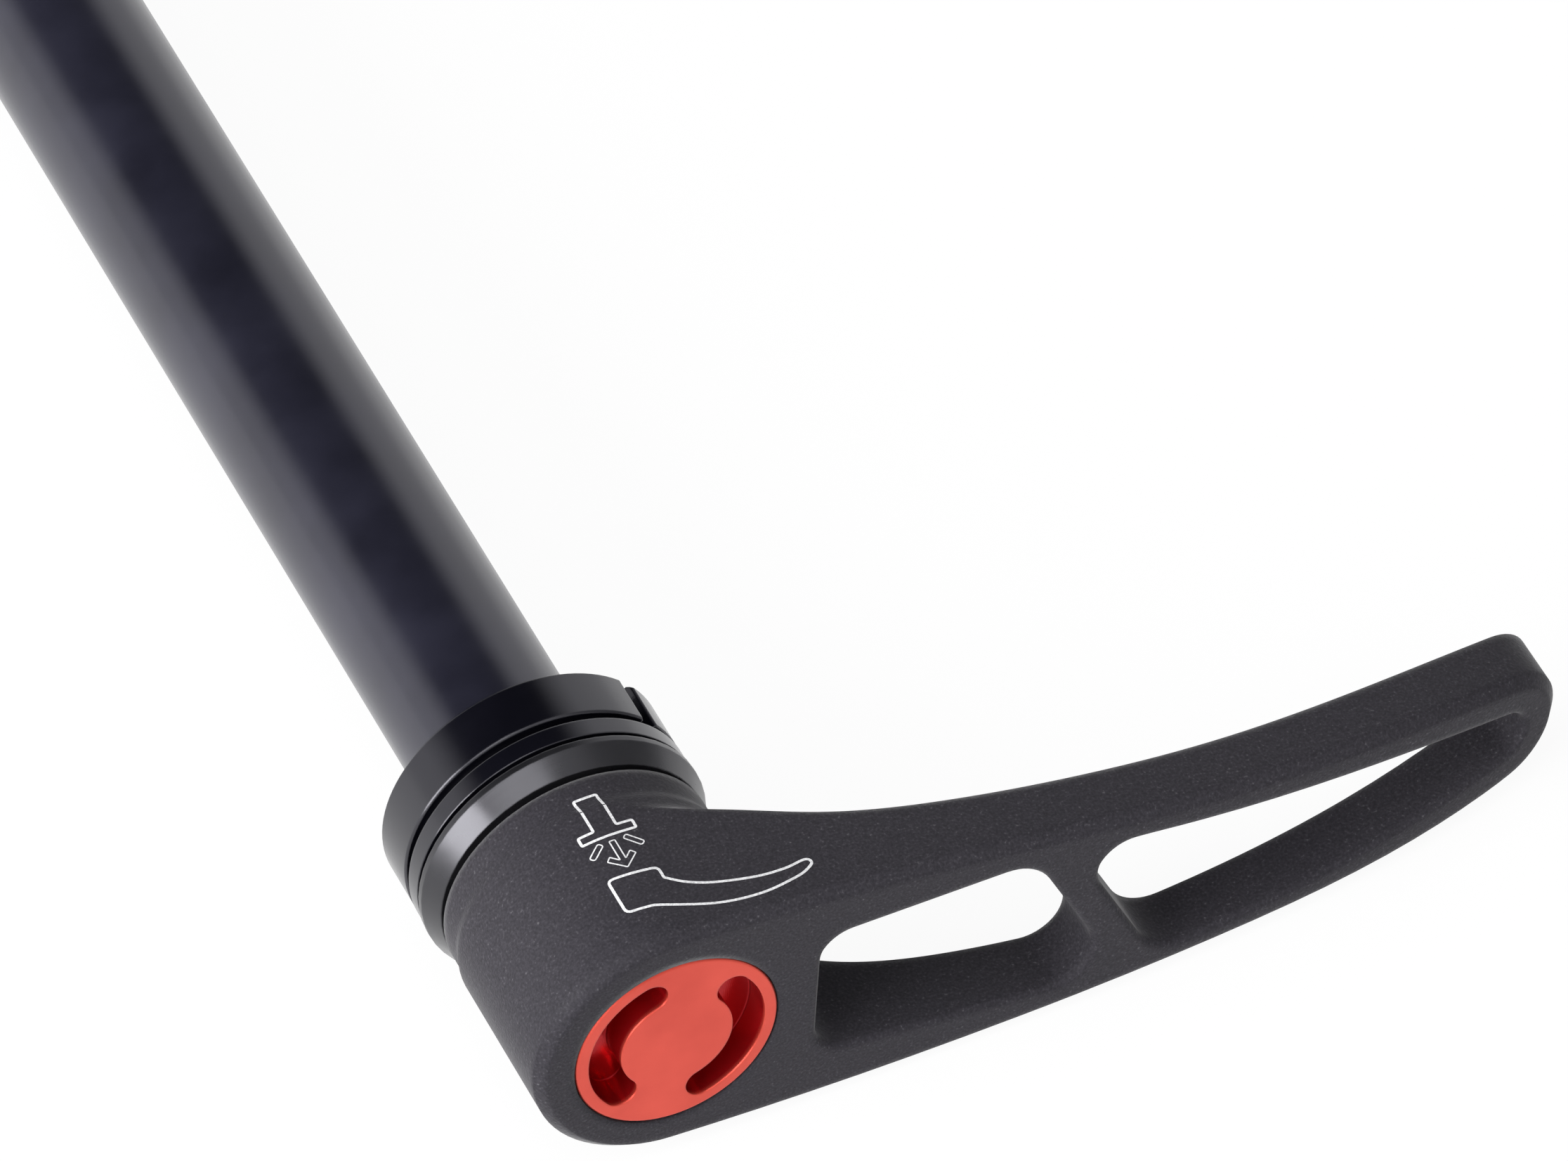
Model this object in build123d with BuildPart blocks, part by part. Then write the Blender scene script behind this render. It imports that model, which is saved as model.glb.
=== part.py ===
from build123d import *
import os
from math import cos, radians, sin, tan

# Bicycle thru axle with a lever that plugs into its head. Sizes are in millimetres.
# The axle lies along Y with its threaded tip towards +Y. The origin is on the axis, at the face that
# bears on the frame. The cap faces -Y, and the lever's arm points to +X, a little below level.

# Axle
shaft_radius = 6.0
shaft_length = 172.0         # contact face to threaded tip
bore_radius = 4.0
bore_chamfer = 0.5
thread_length = 18.0
relief_width = 2.0           # groove where the thread runs out
relief_depth = 1.0
tip_chamfer = 1.2
neck_depth = 0.3             # step down to the neck, where the collar and the washer turn
head_radius = 10.2
head_groove = 0.4            # groove between the washer and the head
head_groove_depth = 1.0
head_lip = 0.45              # straight part of the head's rim
head_taper = 1.6             # tapered part of the head's rim
head_taper_drop = 0.7        # fall of its radius

# Contact collar and slip washer
collar_radius = 10.04
collar_thickness = 4.15
collar_groove = 0.65         # groove between the collar and the washer
collar_groove_depth = 0.84
collar_edge = 0.4            # chamfer on the front of its rim
collar_back_edge = 0.12      # and on the back
collar_lead = 0.5            # chamfer on the front of its bore, which clears the shaft
slit_width = 1.26
slit_angle = 50.0            # from straight up, towards the arm
slit_edge = 0.15
washer_radius = 10.08
washer_thickness = 1.4
running_fit = 0.05           # radial play of what turns on the axle
face_play = 0.02             # axial play between faces that slide

# Lever hub
arm_drop = 4.0               # angle of the arm below level, as it lies
hub_radius = 9.87
hub_length = 15.5
hub_gap = 0.6                # dark gap between the head and the hub
hub_boss_inset = 1.1         # edge of the head's face to the boss that meets it
hub_foot_step = 0.29         # turned foot of the hub
hub_foot_length = 2.05
hub_foot_slope = 0.9

# Lever arm: stations are distances from the axis
arm_length = 66.6
arm_tip_radius = 4.8
arm_tip_angle = 77.0         # where the sides run into the round tip
arm_waist_at = 20.0
arm_waist = 9.1              # half width there
arm_waist_slope = 0.045      # and how fast it falls
arm_grip_at = 40.4
arm_grip = 7.27              # half width there
face_bend_at = 25.0          # the outer face is flat up to here
bow_at = 50.0
bow_rise = 1.43              # how far the outer face has come back towards the frame there
tip_rise = 5.1               # and at the tip
tip_slope = 0.326            # and how fast it rises there
back_start = 0.15            # foot of the hub to the start of the arm's back
root_at = 12.5
root_thickness = 9.0
knee_at = 16.0
knee_thickness = 6.94
throat_at = 23.0
throat_thickness = 5.22
middle_at = 31.0
middle_thickness = 4.67
bow_thickness = 4.4
tip_thickness = 4.55
outer_edge = 0.7

# Windows in the arm
window_inset = 0.25          # side of the hub to the first window
window_start_rail = 3.8      # rails beside the first window
window_end_rail = 2.75
upper_rail = 2.42            # rails beside the second window
lower_rail = 1.92
tip_rail = 2.85              # and round its tip
strut_at = 30.2
strut_width = 2.45
strut_tilt = 28.0
window_corner = 2.3
window_wide_corner = 3.6
window_sharp_corner = 2.9
window_edge = 0.3

# Cap and drive plug in the hub
cap_radius = 7.18
cap_gap = 0.07               # visible gap round the cap
cap_head = 2.0
cap_head_step = 0.58         # cap's rim to its thread
cap_thread_length = 2.75
cap_edge_break = 0.15
slot_rim = 0.93              # cap's rim to its spanner slots
slot_width = 2.3
slot_span = 108.0
slot_turn = -13.0            # middle of the first slot, from the arm
slot_depth = 2.4
seat_fit = 0.03              # radial play of what is fixed in the hub
flange_step = 0.15           # cap's thread to the corners of the plug's hexagon
flange_thickness = 3.0
shank_step = 0.3             # points of the drive to the plug's shank
drive_length = 10.0
drive_fit = 0.06
socket_extra = 0.8           # socket deeper than the drive
pilot_play = 0.4             # plug's pilot in the bore
pilot_length = 4.5
pilot_chamfer = 0.6
ring_section = 0.55          # radius of the rubber ring's section
ring_sides = 6
ring_play = 0.05
ring_groove_play = 0.1
ring_seat_play = 0.02

# Limits for picking edges and faces
close_match = 0.001
outer_lean = 0.9             # share of an outer face's normal that is along the axis

# Radii that follow from these
neck_radius = shaft_radius - neck_depth
head_face_radius = head_radius - head_taper_drop
cap_thread_radius = cap_radius - cap_head_step
flange_radius = cap_thread_radius - flange_step
socket_radius = bore_radius * cos(radians(15)) / cos(radians(30))
drive_radius = socket_radius - drive_fit
shank_radius = drive_radius + shank_step
pilot_radius = bore_radius - pilot_play
ring_radius = bore_radius - ring_play - ring_section

# Stations along the axis, from the contact face to the cap
washer_front_y = -collar_thickness - collar_groove - face_play
washer_back_y = washer_front_y - washer_thickness
head_seat_y = washer_back_y - face_play
head_rim_y = head_seat_y - head_groove
head_taper_y = head_rim_y - head_lip
head_face_y = head_taper_y - head_taper
hub_boss_y = head_face_y - face_play
hub_foot_y = head_face_y - hub_gap
hub_face_y = hub_foot_y - hub_length
cap_seat_y = hub_face_y + cap_head
flange_back_y = cap_seat_y + cap_thread_length
flange_seat_y = flange_back_y + flange_thickness
drive_tip_y = head_face_y + drive_length
socket_floor_y = drive_tip_y + socket_extra
pilot_tip_y = drive_tip_y + pilot_length
ring_y = drive_tip_y + pilot_length / 2

# Directions of the arm
arm_direction = (cos(radians(arm_drop)), 0, -sin(radians(arm_drop)))
arm_upward = (sin(radians(arm_drop)), 0, cos(radians(arm_drop)))
arm_side_view = Plane(origin=(0, 0, 0), x_dir=arm_direction, z_dir=arm_upward)

os.makedirs("parts", exist_ok=True)


def end_view(y):
    """Plane across the axis at y, seen from the cap, with its x along the arm."""
    return Plane(origin=(0, y, 0), x_dir=arm_direction, z_dir=(0, -1, 0))


def drive_star(radius):
    """Twelve-point drive: two hexagons, half a step apart."""
    RegularPolygon(radius, 6)
    RegularPolygon(radius, 6, rotation=30)


def tip_point(radius):
    """Where the arm's side runs into a round tip of this radius."""
    tip_middle = arm_length - arm_tip_radius
    turn = radians(arm_tip_angle)
    return (tip_middle + radius * cos(turn), radius * sin(turn))


def is_round(radius):
    """Test for circular edges of a given radius."""
    return lambda edge: edge.geom_type == GeomType.CIRCLE and abs(edge.radius - radius) < close_match


def is_face_bend(edge):
    """Test for the straight lines where the lever's outer face starts to bend."""
    along = edge.center().dot(Vector(*arm_direction))
    return edge.geom_type == GeomType.LINE and abs(along - face_bend_at) < close_match


def looks_out(face):
    """Test for the lever's outer faces, on the cap's side."""
    return face.normal_at().Y < -outer_lean


# Axle: turned shaft and head, bored through, with the drive socket in its head
with BuildPart() as axle_shaft:
    relief_y = shaft_length - thread_length - relief_width
    with BuildSketch(Plane.XY):
        with BuildLine():
            Polyline(
                (bore_radius, head_face_y),
                (head_face_radius, head_face_y),
                (head_radius, head_taper_y),
                (head_radius, head_rim_y),
                (head_radius - head_groove_depth, head_rim_y),
                (head_radius - head_groove_depth, head_seat_y),
                (neck_radius, head_seat_y),
                (neck_radius, 0),
                (shaft_radius, 0),
                (shaft_radius, relief_y),
                (shaft_radius - relief_depth, relief_y + relief_depth / 2),
                (shaft_radius - relief_depth, relief_y + relief_width - relief_depth / 2),
                (shaft_radius, relief_y + relief_width),
                (shaft_radius, shaft_length - tip_chamfer),
                (shaft_radius - tip_chamfer, shaft_length),
                (bore_radius + bore_chamfer, shaft_length),
                (bore_radius, shaft_length - bore_chamfer),
                close=True,
            )
        make_face()
    revolve(axis=Axis.Y)
    with BuildSketch(end_view(socket_floor_y)):
        drive_star(socket_radius)
    extrude(amount=socket_floor_y - head_face_y, mode=Mode.SUBTRACT)
axle_shaft.part.label = "axle_shaft"
export_step(axle_shaft.part, "parts/axle_shaft.step")

# Contact collar: split ring that snaps over the shaft onto the neck
with BuildPart() as contact_collar:
    collar_back_y = -collar_thickness - collar_groove
    collar_bore_radius = neck_radius + running_fit
    with BuildSketch(Plane.XY):
        with BuildLine():
            Polyline(
                (collar_bore_radius, -face_play - collar_lead),
                (collar_bore_radius + collar_lead, -face_play),
                (collar_radius - collar_edge, -face_play),
                (collar_radius, -face_play - collar_edge),
                (collar_radius, -collar_thickness),
                (collar_radius - collar_groove_depth, -collar_thickness),
                (collar_radius - collar_groove_depth, collar_back_y),
                (collar_bore_radius, collar_back_y),
                close=True,
            )
        make_face()
    revolve(axis=Axis.Y)
    chamfer(contact_collar.edges().filter_by(is_round(collar_radius)).sort_by(Axis.Y)[0], collar_back_edge)
    with BuildSketch(Plane.XZ):
        Rectangle(
            2 * collar_radius,
            slit_width,
            rotation=90 - slit_angle,
            align=(Align.MIN, Align.CENTER),
        )
    extrude(amount=shaft_length, both=True, mode=Mode.SUBTRACT)
    lips = contact_collar.edges().filter_by(Axis.Y).sort_by_distance((0, -collar_thickness / 2, 0))[-2:]
    chamfer(lips, slit_edge)
contact_collar.part.label = "contact_collar"
export_step(contact_collar.part, "parts/contact_collar.step")

# Slip washer between the collar and the head
with BuildPart() as slip_washer:
    with BuildSketch(Plane.XZ.offset(-washer_front_y)):
        Circle(washer_radius)
        Circle(neck_radius + running_fit, mode=Mode.SUBTRACT)
    extrude(amount=washer_thickness)
slip_washer.part.label = "slip_washer"
export_step(slip_washer.part, "parts/slip_washer.step")

# The lever seen from the cap: the hub's circle, drawn out to a round tip
tip_run = (sin(radians(arm_tip_angle)), -cos(radians(arm_tip_angle)))
with BuildLine() as lever_outline:
    side = Spline(
        (0, hub_radius),
        (arm_waist_at, arm_waist),
        (arm_grip_at, arm_grip),
        tip_point(arm_tip_radius),
        tangents=((1, 0), tip_run),
        tangent_scalars=(1, 1),
    )
    mirror(side, about=Plane.XZ)
    ThreePointArc(side @ 1, (arm_length, 0), ((side @ 1).X, -(side @ 1).Y))
    ThreePointArc((0, -hub_radius), (-hub_radius, 0), (0, hub_radius))

# Lever: the bent outer face, cut to that outline, then to the turned hub and the turned back of the arm
with BuildPart() as lever:
    blank_half_width = 2 * hub_radius
    blank_y = 2 * hub_face_y
    arm_end = arm_length + arm_tip_radius
    end_rise = tip_rise + tip_slope * arm_tip_radius
    with BuildSketch(arm_side_view.offset(-blank_half_width)):
        with BuildLine():
            front = Spline(
                (face_bend_at, hub_face_y),
                (bow_at, hub_face_y + bow_rise),
                (arm_length, hub_face_y + tip_rise),
                (arm_end, hub_face_y + end_rise),
                tangents=((1, 0), (1, tip_slope)),
                tangent_scalars=(1, 1),
            )
            Polyline(front @ 1, (arm_end, 0), (-arm_end, 0), (-arm_end, hub_face_y), front @ 0)
        make_face()
    extrude(amount=2 * blank_half_width)
    with BuildSketch(end_view(0)):
        make_face(lever_outline.edges())
    extrude(amount=-blank_y, mode=Mode.INTERSECT)
    with BuildSketch(arm_side_view):
        foot_end_y = hub_foot_y - hub_foot_length
        slope_end_y = foot_end_y - hub_foot_slope
        back_start_y = slope_end_y - back_start
        with BuildLine():
            Polyline(
                (0, blank_y),
                (0, hub_foot_y),
                (hub_radius - hub_foot_step, hub_foot_y),
                (hub_radius - hub_foot_step, foot_end_y),
                (hub_radius, slope_end_y),
                (hub_radius, back_start_y),
            )
            back = Spline(
                (hub_radius, back_start_y),
                (root_at, hub_face_y + root_thickness),
                (knee_at, hub_face_y + knee_thickness),
                (throat_at, hub_face_y + throat_thickness),
                (middle_at, hub_face_y + middle_thickness),
                (bow_at, hub_face_y + bow_rise + bow_thickness),
                (arm_length, hub_face_y + tip_rise + tip_thickness),
                (arm_end, hub_face_y + end_rise + tip_thickness),
                tangents=((0, -1), (1, tip_slope)),
                tangent_scalars=(1, 1),
            )
            Polyline(back @ 1, (arm_end, blank_y), (0, blank_y))
        make_face()
    revolve(axis=Axis.Y, mode=Mode.INTERSECT)
    outer_edges = lever.faces().filter_by(looks_out).edges().filter_by(is_face_bend, reverse=True)
    chamfer(outer_edges, outer_edge)

    # Two windows, parted by a slanting strut
    strut_slope = tan(radians(strut_tilt))
    strut_reach = strut_width / 2 / cos(radians(strut_tilt))
    window_start = hub_radius + window_inset
    window_start_half = arm_waist - window_start_rail
    window_end_half = arm_waist - window_end_rail
    with BuildSketch(end_view(hub_face_y)) as first_window:
        with BuildLine():
            Polyline(
                (window_start, window_start_half),
                (strut_at - strut_reach - window_end_half * strut_slope, window_end_half),
                (strut_at - strut_reach + window_end_half * strut_slope, -window_end_half),
                (window_start, -window_start_half),
                close=True,
            )
        make_face()
        fillet(first_window.vertices().sort_by(Axis.X)[-1], window_sharp_corner)
        fillet(first_window.vertices().sort_by(Axis.Y)[-1], window_wide_corner)
        fillet(first_window.vertices().sort_by(Axis.X)[:2], window_corner)
    extrude(amount=hub_length, both=True, mode=Mode.SUBTRACT)
    opened = lever.edges(Select.NEW) & lever.faces().filter_by(looks_out).edges()
    chamfer(opened.filter_by(is_face_bend, reverse=True), window_edge)
    with BuildSketch(end_view(hub_face_y)) as second_window:
        with BuildLine():
            upper = Spline(
                (arm_waist_at, arm_waist - upper_rail),
                (arm_grip_at, arm_grip - upper_rail),
                tip_point(arm_tip_radius - tip_rail),
                tangents=((1, -arm_waist_slope), tip_run),
                tangent_scalars=(1, 1),
            )
            lower = Spline(
                (arm_waist_at, lower_rail - arm_waist),
                (arm_grip_at, lower_rail - arm_grip),
                ((upper @ 1).X, -(upper @ 1).Y),
                tangents=((1, arm_waist_slope), (tip_run[0], -tip_run[1])),
                tangent_scalars=(1, 1),
            )
            ThreePointArc(upper @ 1, (arm_length - tip_rail, 0), lower @ 1)
            Line(upper @ 0, lower @ 0)
        make_face()
        with Locations((strut_at + strut_reach, 0)):
            Rectangle(
                2 * arm_length,
                2 * arm_length,
                rotation=strut_tilt,
                align=(Align.MAX, Align.CENTER),
                mode=Mode.SUBTRACT,
            )
        fillet(second_window.vertices().sort_by(Axis.X)[0], window_corner)
        fillet(second_window.vertices().sort_by(Axis.Y)[0], window_wide_corner)
    extrude(amount=hub_length, both=True, mode=Mode.SUBTRACT)
    opened = lever.edges(Select.NEW) & lever.faces().filter_by(looks_out).edges()
    chamfer(opened.filter_by(is_face_bend, reverse=True), window_edge)

    # Boss that meets the head, and the stepped bore for the cap and the plug
    with BuildSketch(end_view(hub_boss_y)):
        Circle(head_face_radius - hub_boss_inset)
    extrude(amount=hub_boss_y - hub_foot_y)
    with BuildSketch(end_view(hub_face_y)):
        Circle(cap_radius + cap_gap)
    extrude(amount=hub_face_y - cap_seat_y, mode=Mode.SUBTRACT)
    with BuildSketch(end_view(cap_seat_y)):
        Circle(cap_thread_radius + seat_fit)
    extrude(amount=-cap_thread_length, mode=Mode.SUBTRACT)
    with BuildSketch(end_view(flange_back_y)):
        RegularPolygon(flange_radius + seat_fit, 6)
    extrude(amount=-flange_thickness, mode=Mode.SUBTRACT)
    with BuildSketch(end_view(flange_seat_y)):
        Circle(shank_radius + seat_fit)
    extrude(amount=flange_seat_y - hub_boss_y, mode=Mode.SUBTRACT)
lever.part.label = "lever"
export_step(lever.part, "parts/lever.step")

# Drive plug: hexagon in the hub, shank through it, twelve-point drive and pilot in the axle
with BuildPart() as drive_plug:
    with BuildSketch(end_view(flange_seat_y)):
        RegularPolygon(flange_radius, 6)
    extrude(amount=flange_thickness)
    with BuildSketch(end_view(hub_boss_y)):
        Circle(shank_radius)
    extrude(amount=hub_boss_y - flange_seat_y)
    with BuildSketch(end_view(drive_tip_y)):
        drive_star(drive_radius)
    extrude(amount=drive_tip_y - hub_boss_y)
    with BuildSketch(end_view(pilot_tip_y)):
        Circle(pilot_radius)
    extrude(amount=pilot_length)
    chamfer(drive_plug.edges().filter_by(is_round(pilot_radius)).sort_by(Axis.Y)[-1], pilot_chamfer)
    with BuildSketch(end_view(ring_y + ring_section + ring_groove_play)):
        Circle(bore_radius)
        Circle(ring_radius - ring_section - ring_seat_play, mode=Mode.SUBTRACT)
    extrude(amount=2 * (ring_section + ring_groove_play), mode=Mode.SUBTRACT)
drive_plug.part.label = "drive_plug"
export_step(drive_plug.part, "parts/drive_plug.step")

# Rubber ring that holds the plug in the bore
with BuildPart() as plug_o_ring:
    with BuildSketch(Plane.XY):
        with Locations((ring_radius, ring_y)):
            RegularPolygon(ring_section, ring_sides)
    revolve(axis=Axis.Y)
plug_o_ring.part.label = "plug_o_ring"
export_step(plug_o_ring.part, "parts/plug_o_ring.step")

# Cap: threaded plug, flush in the hub, with two curved slots for a pin spanner
slot_radius = cap_radius - slot_rim - slot_width / 2
slot_line = CenterArc((0, 0), slot_radius, slot_turn - slot_span / 2, slot_span)
with BuildPart() as end_cap:
    with BuildSketch(end_view(cap_seat_y)):
        Circle(cap_radius)
    extrude(amount=cap_head)
    chamfer(end_cap.edges().filter_by(is_round(cap_radius)).sort_by(Axis.Y)[0], cap_edge_break)
    with BuildSketch(end_view(flange_back_y)):
        Circle(cap_thread_radius)
    extrude(amount=cap_thread_length)
    with BuildSketch(end_view(hub_face_y)):
        with PolarLocations(0, 2):
            SlotArc(slot_line, slot_width)
    extrude(amount=-slot_depth, mode=Mode.SUBTRACT)
end_cap.part.label = "end_cap"
export_step(end_cap.part, "parts/end_cap.step")
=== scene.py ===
import math

import bmesh
import bpy
from mathutils import Matrix, Vector
from mathutils.bvhtree import BVHTree


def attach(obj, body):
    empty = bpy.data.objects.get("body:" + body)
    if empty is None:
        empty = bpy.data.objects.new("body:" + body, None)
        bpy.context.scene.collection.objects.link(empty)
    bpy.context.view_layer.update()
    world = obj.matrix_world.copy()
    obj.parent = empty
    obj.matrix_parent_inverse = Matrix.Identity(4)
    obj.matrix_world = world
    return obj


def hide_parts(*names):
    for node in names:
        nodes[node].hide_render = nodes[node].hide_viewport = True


# Bicycle thru axle: finishes, the thread, the sign on the lever, floor, light and camera.
# The axle lies along Y with its tip towards +Y, and the lever's arm points to +X.
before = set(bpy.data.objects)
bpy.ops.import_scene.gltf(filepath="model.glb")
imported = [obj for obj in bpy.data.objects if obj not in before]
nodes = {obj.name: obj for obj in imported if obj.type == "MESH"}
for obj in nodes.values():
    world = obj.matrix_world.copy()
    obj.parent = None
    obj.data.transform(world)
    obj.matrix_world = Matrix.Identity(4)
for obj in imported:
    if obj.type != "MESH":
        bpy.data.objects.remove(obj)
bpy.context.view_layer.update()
MM = 0.001

# Sizes that the dressed pieces share with the model, in millimetres
SHAFT_RADIUS = 6.0
HEAD_RADIUS = 10.2
HEAD_RIM_Y = -6.9                 # widest part of the head, which rests on the floor
HEAD_BACK_Y = -6.2                # everything past this, towards the lever, is the head
HUB_FACE_Y = -24.79               # the lever's outer face, with the cap in it
ARM_DROP = math.radians(4.0)      # angle of the arm below level

# Thread, in millimetres
THREAD_START = 154.0
THREAD_END = 170.8                # where the tip's chamfer begins
THREAD_PITCH = 1.5
THREAD_DEPTH = 0.92
THREAD_RUN_IN = 1.2               # length over which it reaches its depth
THREAD_RUN_OUT = 0.5              # length over which it loses it at the tip
FLANK_GAIN = 1.12                 # what it has above 1 makes the flats at the root and the crest
CREST_FLAT = 0.06                 # and this is the crest's part of it
THREAD_STEPS = 96                 # points round the shaft
THREAD_ROWS = 134                 # steps along it
FACE_SLACK = 0.01                 # tolerances for finding the plain cylinder and its rims
RIM_SLACK = 0.02
WELD = 0.001

# Sign, in millimetres
MARK_LIFT = 0.012                 # how far its lines stand above and reach below the skin
MARK_WIDTH = 0.19
FINE_WIDTH = 0.09
ABOVE_LEVER = 30                  # height from which the lever's skin is sought

# Finish
NOISE_LOW, NOISE_HIGH = 0.3, 0.7  # where most values of a noise lie
EDGE_SAMPLES = 6                  # rays that round an edge off
COOL_GLOSS = (0.93, 0.92, 1.0, 1)  # tint of the anodised pieces' reflections
SLOT_TOP, SLOT_DEEP = 0.1, 0.4    # depths in mm between which the cap's face gives way to its slots' gloss and painted shade

# Stage
FLOOR_HALF = 3.0                  # half its side, in metres
FLOOR_GAP = 0.05                  # below the head's rim, in mm
FLOOR_WHITE = 0.93                # share of plain white in what the camera and mirrors see of it
DARK_GAP = (-0.096, 0.602, 0.792)  # direction of the dark gap that the top of the shaft mirrors
DIM_SIDE = (0.87, -0.2, 0.45)     # direction of the room's dimmer side


def link(obj):
    bpy.context.scene.collection.objects.link(obj)
    return obj


def assign(obj, mat):
    obj.data.materials.clear()
    obj.data.materials.append(mat)


# Shader nodes
def feed(tree, value, socket):
    """Link a socket into another one, or set a constant on it."""
    if isinstance(value, bpy.types.NodeSocket):
        tree.links.new(value, socket)
    else:
        socket.default_value = value


def fill(tree, node, **inputs):
    for key, value in inputs.items():
        feed(tree, value, node.inputs[key.replace("_", " ")])


def add(tree, kind, **inputs):
    node = tree.nodes.new(kind)
    fill(tree, node, **inputs)
    return node


def new_material(name):
    mat = bpy.data.materials.new(name)
    mat.use_nodes = True
    tree = mat.node_tree
    return mat, tree, tree.nodes["Principled BSDF"]


def object_coords(tree):
    return tree.nodes.new("ShaderNodeTexCoord").outputs["Object"]


def noise(tree, coords, scale, detail=2.0, rough=0.5):
    node = add(tree, "ShaderNodeTexNoise", Vector=coords, Scale=scale, Detail=detail, Roughness=rough)
    return node.outputs["Fac"]


def ramp(tree, fac, stops):
    """Colours at rising positions, given as pairs of position and colour."""
    node = add(tree, "ShaderNodeValToRGB", Fac=fac)
    elements = node.color_ramp.elements
    for index in (0, -1):
        position, colour = stops[index]
        elements[index].position = position
        elements[index].color = (*colour, 1)
    for position, colour in stops[1:-1]:
        elements.new(position).color = (*colour, 1)
    return node.outputs["Color"]


def tones(tree, fac, low, high):
    """A noise as a play between two colours."""
    return ramp(tree, fac, [(NOISE_LOW, low), (NOISE_HIGH, high)])


def spread(tree, fac, low, high):
    """A noise as a play between two numbers."""
    node = add(tree, "ShaderNodeMapRange", Value=fac, From_Min=NOISE_LOW, From_Max=NOISE_HIGH,
               To_Min=low, To_Max=high)
    return node.outputs["Result"]


def mix(tree, kind, factor, a, b, blend="MIX"):
    """Mix of two colours (RGBA) or two numbers (FLOAT)."""
    node = tree.nodes.new("ShaderNodeMix")
    node.data_type = kind
    node.blend_type = blend
    fill(tree, node, Factor=factor, A=a, B=b)
    return node.outputs["Result"]


def combine(tree, kind, operation, first, second):
    """Math or vector math on two values."""
    node = tree.nodes.new(kind)
    node.operation = operation
    feed(tree, first, node.inputs[0])
    feed(tree, second, node.inputs[1])
    return node.outputs["Value"]


def bump(tree, relief, height, strength, under=None):
    """Normals of a relief with a height in millimetres, laid over other normals."""
    node = add(tree, "ShaderNodeBump", Height=relief, Distance=height * MM, Strength=strength)
    if under is not None:
        fill(tree, node, Normal=under)
    return node.outputs["Normal"]


def eased_edges(tree, radius):
    """Normals that round the edges off to a radius in millimetres, as on the finished metal."""
    node = add(tree, "ShaderNodeBevel", Radius=radius * MM)
    node.samples = EDGE_SAMPLES
    return node.outputs["Normal"]


def along_axis(tree, coords):
    return add(tree, "ShaderNodeSeparateXYZ", Vector=coords).outputs["Y"]


def turned_lines(tree, coords, scale):
    """Fine rings round the axle's axis, as a lathe leaves them."""
    line = add(tree, "ShaderNodeCombineXYZ", X=along_axis(tree, coords))
    return noise(tree, line.outputs["Vector"], scale, detail=3.0)


# Materials
def anodised_black(name, colour, rough, line_scale, line_depth, ior):
    mat, tree, shader = new_material(name)
    coords = object_coords(tree)
    cloud = noise(tree, coords, scale=160, detail=4.0)
    grain = bump(tree, noise(tree, coords, scale=9000), height=0.006, strength=0.25,
                 under=eased_edges(tree, radius=0.16))
    lines = bump(tree, turned_lines(tree, coords, line_scale), line_depth, strength=0.5, under=grain)
    dim, lit = (tuple(c * share for c in colour) for share in (0.8, 1.3))
    fill(tree, shader, Base_Color=tones(tree, cloud, dim, lit), Roughness=spread(tree, cloud, *rough),
         Normal=lines, IOR=ior, Specular_Tint=COOL_GLOSS)
    return mat


def blasted_black(name):
    mat, tree, shader = new_material(name)
    coords = object_coords(tree)
    pits = noise(tree, coords, scale=4200, detail=3.0, rough=0.6)
    specks = noise(tree, coords, scale=5200, detail=1.0)
    cloud = noise(tree, coords, scale=70, detail=3.0)
    grey = ramp(tree, specks, [(0.3, (0.024, 0.0224, 0.0266)), (0.6, (0.035, 0.0325, 0.0388)),
                               (0.72, (0.047, 0.044, 0.051)), (0.8, (0.09, 0.087, 0.094))])
    shade = tones(tree, cloud, (0.88, 0.88, 0.9), (1.0, 1.0, 1.0))
    fill(tree, shader, Base_Color=mix(tree, "RGBA", 1.0, grey, shade, blend="MULTIPLY"),
         Roughness=spread(tree, cloud, low=0.54, high=0.62),
         Normal=bump(tree, pits, height=0.06, strength=0.6, under=eased_edges(tree, radius=0.9)),
         IOR=1.2, Sheen_Weight=0.25, Sheen_Roughness=0.3)
    return mat


def anodised_red(name):
    """Satin red on the face; glossier inside the slots, where the red is also darkened as painted
    shade.
    """
    mat, tree, shader = new_material(name)
    coords = object_coords(tree)
    cloud = noise(tree, coords, scale=220, detail=3.0)
    rings = add(tree, "ShaderNodeTexWave", Vector=coords, Scale=2400, Distortion=0.6)
    rings.wave_type = "RINGS"
    rings.rings_direction = "Y"
    inside = add(tree, "ShaderNodeMapRange", Value=along_axis(tree, coords),
                 From_Min=(HUB_FACE_Y + SLOT_TOP) * MM, From_Max=(HUB_FACE_Y + SLOT_DEEP) * MM)
    depth = inside.outputs["Result"]
    satin = tones(tree, cloud, (0.60, 0.068, 0.046), (0.70, 0.088, 0.060))
    dull = spread(tree, cloud, low=0.3, high=0.38)
    grain = bump(tree, noise(tree, coords, scale=6000), height=0.01, strength=0.3,
                 under=eased_edges(tree, radius=0.22))
    # The darker red inside the slots is painted shade of the recess; the lower roughness there is the
    # slots' own gloss.
    fill(tree, shader, Base_Color=mix(tree, "RGBA", depth, satin, (0.40, 0.008, 0.012, 1)),
         Roughness=mix(tree, "FLOAT", depth, dull, 0.16), Metallic=0.75,
         Normal=bump(tree, rings.outputs["Fac"], height=0.004, strength=0.25, under=grain))
    return mat


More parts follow.
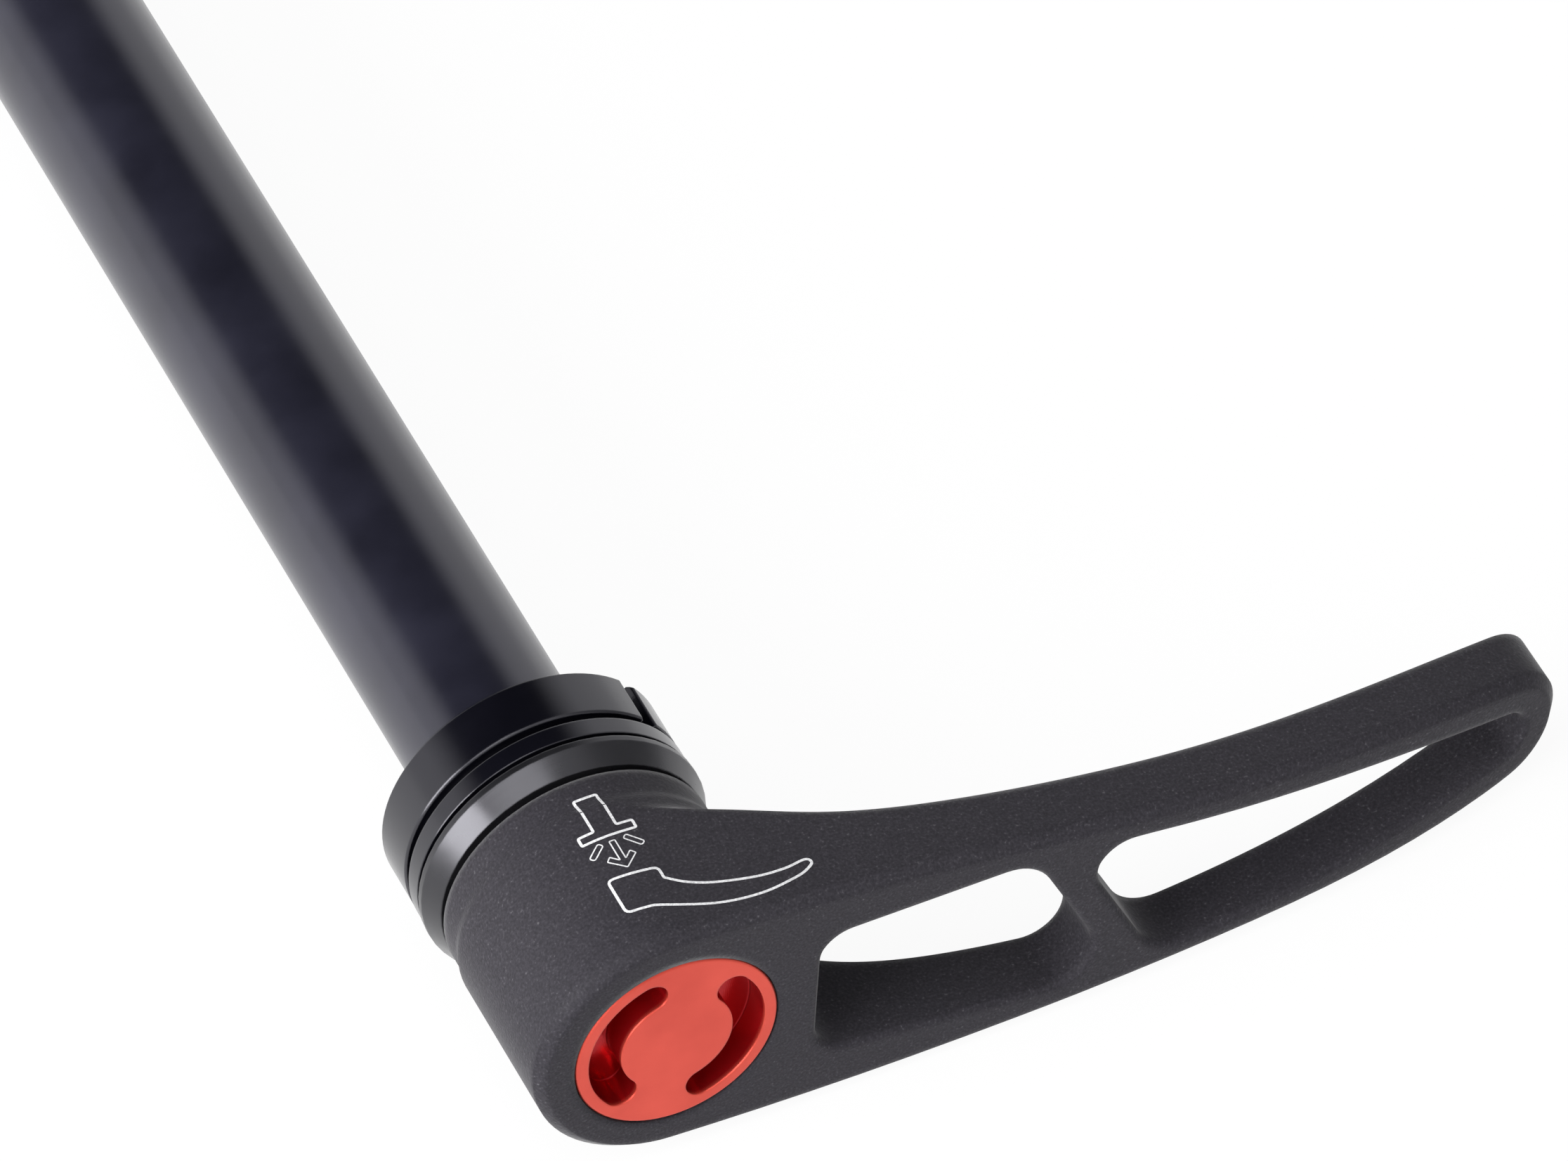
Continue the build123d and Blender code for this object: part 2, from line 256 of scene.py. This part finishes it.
def machined_steel(name):
    mat, tree, shader = new_material(name)
    coords = object_coords(tree)
    lines = turned_lines(tree, coords, scale=9000)
    cloud = noise(tree, coords, scale=300, detail=3.0)
    fill(tree, shader, Base_Color=tones(tree, cloud, (0.40, 0.40, 0.41), (0.52, 0.52, 0.53)),
         Roughness=spread(tree, lines, low=0.26, high=0.4), Metallic=1.0,
         Normal=bump(tree, lines, height=0.01, strength=0.4))
    return mat


def dull_rubber(name):
    mat, tree, shader = new_material(name)
    grain = noise(tree, object_coords(tree), scale=5000, detail=3.0)
    fill(tree, shader, Base_Color=tones(tree, grain, (0.012, 0.012, 0.012), (0.024, 0.024, 0.024)),
         Roughness=0.75, Normal=bump(tree, grain, height=0.02, strength=0.3))
    return mat


def etched_mark(name):
    mat, tree, shader = new_material(name)
    grain = noise(tree, object_coords(tree), scale=7000)
    silver = ramp(tree, grain, [(0.3, (0.50, 0.50, 0.51)), (0.65, (0.78, 0.78, 0.79))])
    fill(tree, shader, Base_Color=silver, Roughness=0.6,
         Normal=bump(tree, grain, height=0.01, strength=0.4))
    return mat


shaft_black = anodised_black("shaft_black", (0.010, 0.010, 0.017), rough=(0.2, 0.26),
                             line_scale=5000, line_depth=0.004, ior=1.78)
head_black = anodised_black("head_black", (0.008, 0.008, 0.009), rough=(0.16, 0.34),
                            line_scale=9000, line_depth=0.014, ior=1.64)
ring_black = anodised_black("ring_black", (0.002, 0.002, 0.0038), rough=(0.15, 0.2),
                            line_scale=14000, line_depth=0.012, ior=1.75)
lever_black = blasted_black("lever_black")
cap_red = anodised_red("cap_red")
plug_steel = machined_steel("plug_steel")
ring_rubber = dull_rubber("ring_rubber")
mark_silver = etched_mark("mark_silver")

assign(nodes["axle_shaft"], shaft_black)
assign(nodes["contact_collar"], ring_black)
assign(nodes["slip_washer"], ring_black)
assign(nodes["lever"], lever_black)
assign(nodes["end_cap"], cap_red)
assign(nodes["drive_plug"], plug_steel)
assign(nodes["plug_o_ring"], ring_rubber)


# Axle with its thread cut into the tip
def thread_depth(turn, y):
    phase = (y / THREAD_PITCH - turn / (2 * math.pi)) % 1.0
    groove = max(0.0, min(1.0, FLANK_GAIN * (1 - abs(2 * phase - 1)) - CREST_FLAT))
    ends = min(1.0, (y - THREAD_START) / THREAD_RUN_IN, (THREAD_END - y) / THREAD_RUN_OUT)
    return THREAD_DEPTH * groove * max(0.0, ends)


def off_axis(vert):
    return math.hypot(vert.co.x, vert.co.z)


def thread_rings(shape):
    """Rings of points that follow the thread, between the two rims of the plain cylinder."""
    step = (THREAD_END - THREAD_START) / THREAD_ROWS
    grid = []
    for row in range(1, THREAD_ROWS):
        y = THREAD_START + step * row
        ring = []
        for k in range(THREAD_STEPS):
            turn = 2 * math.pi * k / THREAD_STEPS
            r = SHAFT_RADIUS - thread_depth(turn, y)
            ring.append(shape.verts.new((r * math.cos(turn) * MM, y * MM, r * math.sin(turn) * MM)))
        grid.append(ring)
    return grid


def cut_thread(shape):
    """Put the thread in place of the plain cylinder and close it against both rims."""
    low, high = (THREAD_START - FACE_SLACK) * MM, (THREAD_END + FACE_SLACK) * MM
    rim = (SHAFT_RADIUS - RIM_SLACK) * MM
    weld = WELD * MM
    plain = [face for face in shape.faces
             if all(low <= v.co.y <= high and off_axis(v) > rim for v in face.verts)]
    bmesh.ops.delete(shape, geom=plain, context="FACES")
    grid = thread_rings(shape)
    wall = []
    for lower, upper in zip(grid, grid[1:]):
        for k in range(THREAD_STEPS):
            n = (k + 1) % THREAD_STEPS
            wall.append(shape.faces.new((lower[k], upper[k], upper[n], lower[n])))
    for end, ring in ((THREAD_START, grid[0]), (THREAD_END, grid[-1])):
        near = [v for v in shape.verts if abs(v.co.y - end * MM) < weld and off_axis(v) > rim]
        bmesh.ops.remove_doubles(shape, verts=near, dist=weld)
        joined = {v for v in near if v.is_valid}.union(ring)
        seam = [e for e in shape.edges if e.is_boundary and joined.issuperset(e.verts)]
        wall += bmesh.ops.bridge_loops(shape, edges=seam)["faces"]
    for face in wall:
        face.smooth = True


def new_object(name, shape):
    mesh = bpy.data.meshes.new(name)
    shape.to_mesh(mesh)
    shape.free()
    return link(bpy.data.objects.new(name, mesh))


def threaded_axle():
    shape = bmesh.new()
    shape.from_mesh(nodes["axle_shaft"].data)
    cut_thread(shape)
    obj = new_object("threaded_axle", shape)
    assign(obj, shaft_black)
    obj.data.materials.append(head_black)
    for face in obj.data.polygons:
        if face.center.y < HEAD_BACK_Y * MM:
            face.material_index = 1
    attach(obj, "axle")
    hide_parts("axle_shaft")


threaded_axle()


# Etched sign on the lever's top: an axle's end, an arrow and a lever
def arm_point(along, up, y):
    """Point in the model's frame, from distances along the arm, above it and along the axis."""
    x = along * math.cos(ARM_DROP) + up * math.sin(ARM_DROP)
    z = -along * math.sin(ARM_DROP) + up * math.cos(ARM_DROP)
    return Vector((x, y, z)) * MM


lever_skin = BVHTree.FromPolygons([v.co.copy() for v in nodes["lever"].data.vertices],
                                  [tuple(p.vertices) for p in nodes["lever"].data.polygons])
DOWN = (arm_point(0, -1, 0) - arm_point(0, 0, 0)).normalized()


def on_lever(along, depth):
    """The lever's upper skin at a distance along the arm and a depth behind the cap."""
    start = arm_point(along, ABOVE_LEVER, HUB_FACE_Y + depth)
    place, normal, _, _ = lever_skin.ray_cast(start, DOWN)
    return place, normal


def smooth_line(points, steps=6):
    """Points of a rounded line through the given ones."""
    out = []
    ends = [points[0]] + points + [points[-1]]
    for p, q, r, s in zip(ends, ends[1:], ends[2:], ends[3:]):
        for k in range(steps):
            t = k / steps
            weights = (-t + 2 * t ** 2 - t ** 3, 2 - 5 * t ** 2 + 3 * t ** 3,
                       t + 4 * t ** 2 - 3 * t ** 3, t ** 3 - t ** 2)
            out.append(tuple(sum(w * c for w, c in zip(weights, cs)) / 2 for cs in zip(p, q, r, s)))
    return out + [points[-1]]


def straight_line(points, closed, gap=0.25):
    """Points no further apart than about the gap, so that the line follows the skin."""
    out = []
    loop = points + points[:1] if closed else points
    for (ax, ay), (bx, by) in zip(loop, loop[1:]):
        steps = max(1, round(math.dist((ax, ay), (bx, by)) / gap))
        out += [(ax + (bx - ax) * k / steps, ay + (by - ay) * k / steps) for k in range(steps)]
    return out if closed else out + [points[-1]]


def rounded(points, radius, closed, steps=4):
    """The same corners, each rounded off over the given length of its sides."""
    count = len(points)
    corners = range(count) if closed else range(1, count - 1)
    out = [] if closed else [points[0]]
    for i in corners:
        corner = Vector(points[i])
        start = corner + (Vector(points[i - 1]) - corner).normalized() * radius
        end = corner + (Vector(points[(i + 1) % count]) - corner).normalized() * radius
        for k in range(steps + 1):
            t = k / steps
            out.append(tuple(start * (1 - t) ** 2 + corner * 2 * t * (1 - t) + end * t ** 2))
    return out if closed else out + [points[-1]]


def outline(points, radius):
    return straight_line(rounded(points, radius, closed=True), closed=True)


def bar(start, end, half):
    """Corners of a thin bar round a straight line."""
    (ax, ay), (bx, by) = start, end
    size = math.dist(start, end)
    ox, oy = -(by - ay) / size * half, (bx - ax) / size * half
    return [(ax + ox, ay + oy), (bx + ox, by + oy), (bx - ox, by - oy), (ax - ox, ay - oy)]


def draw_line(shape, line, width):
    """Closed line that stands just proud of the lever's skin."""
    lift = MARK_LIFT * MM
    sections = []
    for i, (x, y) in enumerate(line):
        before, after = line[i - 1], line[(i + 1) % len(line)]
        dx, dy = after[0] - before[0], after[1] - before[1]
        size = math.hypot(dx, dy)
        ox, oy = -dy / size * width / 2, dx / size * width / 2
        section = []
        for side, rise in ((1, lift), (-1, lift), (-1, -lift), (1, -lift)):
            place, normal = on_lever(x + side * ox, y + side * oy)
            section.append(shape.verts.new(place + normal * rise))
        sections.append(section)
    for a, b in zip(sections, sections[1:] + sections[:1]):
        for k in range(4):
            n = (k + 1) % 4
            shape.faces.new((a[k], b[k], b[n], a[n]))


def etched_sign():
    """The sign's points are distances along the arm and behind the cap, in millimetres."""
    shape = bmesh.new()
    axle = [(-1.5, 10.65), (-1.5, 13.8), (0.1, 13.8), (0.1, 10.65),
            (1.2, 10.65), (1.2, 9.95), (-2.6, 9.95), (-2.6, 10.65)]
    draw_line(shape, outline(axle, radius=0.12), MARK_WIDTH)
    tip_x, tip_y = -0.75, 6.95
    half_arrow = [(0.0, 0.0), (1.0, 0.95), (0.72, 1.27), (0.2, 0.75), (0.2, 2.5)]
    arrow = [(tip_x + x, tip_y + y) for x, y in half_arrow]
    arrow += [(tip_x - x, tip_y + y) for x, y in reversed(half_arrow[1:])]
    draw_line(shape, outline(arrow, radius=0.08), FINE_WIDTH)
    for start, end in (((-1.55, 9.45), (-2.5, 8.6)), ((0.15, 9.5), (1.05, 8.5))):
        draw_line(shape, outline(bar(start, end, half=0.2), radius=0.16), FINE_WIDTH)
    hub = [(-0.6, 3.25), (-2.4, 3.5), (-2.4, 6.5), (1.0, 6.2), (1.0, 5.2)]
    arm = [(1.0, 5.2), (2.2, 4.3), (3.9, 3.6), (6.6, 3.1), (8.6, 3.1), (10.1, 3.38), (10.45, 3.05),
           (10.1, 2.65), (9.0, 2.15), (6.3, 1.65), (3.2, 1.9), (-0.6, 3.25)]
    hub_line = straight_line(rounded(hub, radius=0.4, closed=False), closed=False)
    draw_line(shape, hub_line[:-1] + smooth_line(arm)[:-1], MARK_WIDTH)
    bmesh.ops.recalc_face_normals(shape, faces=shape.faces)
    obj = new_object("etched_sign", shape)
    assign(obj, mark_silver)
    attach(obj, "lever")


etched_sign()

# Floor, tilted so that the head's rim and the tip both rest on it
slope = math.atan2(HEAD_RADIUS - SHAFT_RADIUS, THREAD_END - HEAD_RIM_Y)
floor_mesh = bpy.data.meshes.new("floor")
corners = [(x * FLOOR_HALF, y * FLOOR_HALF, 0) for x, y in ((-1, -1), (1, -1), (1, 1), (-1, 1))]
floor_mesh.from_pydata(corners, [], [(0, 1, 2, 3)])
floor = link(bpy.data.objects.new("floor", floor_mesh))
floor.location = (0, HEAD_RIM_Y * MM, -(HEAD_RADIUS + FLOOR_GAP) / math.cos(slope) * MM)
floor.rotation_euler = (slope, 0, 0)


def white_floor():
    """Pale and matt, but plain white to the camera and in reflections, apart from the shadow."""
    mat, tree, shader = new_material("floor_white")
    fill(tree, shader, Base_Color=(0.9, 0.9, 0.9, 1), Roughness=0.9, Specular_IOR_Level=0.0)
    rays = tree.nodes.new("ShaderNodeLightPath").outputs
    mirrored = combine(tree, "ShaderNodeMath", "MAXIMUM",
                       rays["Is Glossy Ray"], rays["Is Transmission Ray"])
    seen = combine(tree, "ShaderNodeMath", "MAXIMUM", rays["Is Camera Ray"], mirrored)
    share = combine(tree, "ShaderNodeMath", "MULTIPLY", seen, FLOOR_WHITE)
    glow = add(tree, "ShaderNodeEmission", Color=(1, 1, 1, 1), Strength=1.0)
    blend = add(tree, "ShaderNodeMixShader", Fac=share)
    feed(tree, shader.outputs["BSDF"], blend.inputs[1])
    feed(tree, glow.outputs["Emission"], blend.inputs[2])
    fill(tree, tree.nodes["Material Output"], Surface=blend.outputs["Shader"])
    return mat


assign(floor, white_floor())


# Studio: a white room with a dark gap above the axle's far end, and dimmer at the right
def studio():
    world = bpy.data.worlds.new("studio")
    world.use_nodes = True
    tree = world.node_tree
    sight = tree.nodes.new("ShaderNodeTexCoord").outputs["Generated"]
    facing = combine(tree, "ShaderNodeVectorMath", "DOT_PRODUCT", sight, DARK_GAP)
    room = ramp(tree, facing, [(0.68, (0.8, 0.8, 0.81)), (0.78, (0.5, 0.5, 0.51)),
                               (0.88, (0.02, 0.02, 0.025))])
    beside = combine(tree, "ShaderNodeVectorMath", "DOT_PRODUCT", sight, DIM_SIDE)
    dim = ramp(tree, beside, [(0.75, (1, 1, 1)), (0.93, (0.4, 0.4, 0.4))])
    walls = mix(tree, "RGBA", 1.0, room, dim, blend="MULTIPLY")
    seen = tree.nodes.new("ShaderNodeLightPath").outputs["Is Camera Ray"]
    fill(tree, tree.nodes["Background"], Color=mix(tree, "RGBA", seen, walls, (1, 1, 1, 1)))
    return world


def softbox(name, place, target, size, power):
    lamp = bpy.data.lights.new(name, "AREA")
    lamp.shape = "RECTANGLE"
    lamp.size, lamp.size_y = size
    lamp.energy = power
    obj = link(bpy.data.objects.new(name, lamp))
    obj.location = place
    obj.rotation_euler = (Vector(target) - Vector(place)).to_track_quat("-Z", "Y").to_euler()


bpy.context.scene.world = studio()
softbox("top_light", place=(-0.30, -0.20, 0.85), target=(0.01, 0, 0), size=(0.5, 0.7), power=3.2)
softbox("left_light", place=(-0.92, -0.18, 0.36), target=(0, 0, 0), size=(1.0, 0.65), power=17.0)


# Camera at the photograph's viewing angle
def photo_camera(place, right, upward, focal_length):
    lens = bpy.data.cameras.new("camera")
    lens.sensor_fit = "HORIZONTAL"
    lens.sensor_width = 36.0
    lens.lens = focal_length
    lens.clip_start = 0.01
    obj = link(bpy.data.objects.new("camera", lens))
    right, upward = Vector(right), Vector(upward)
    turn = Matrix((right, upward, right.cross(upward))).transposed().to_4x4()
    obj.matrix_world = Matrix.Translation(Vector(place)) @ turn
    return obj


bpy.context.scene.camera = photo_camera(place=(-0.221525, -0.540655, 0.646723),
                                        right=(0.90680, -0.42131, -0.01480),
                                        upward=(0.31767, 0.65981, 0.68098), focal_length=305.03)
bpy.context.scene.view_settings.view_transform = "Standard"
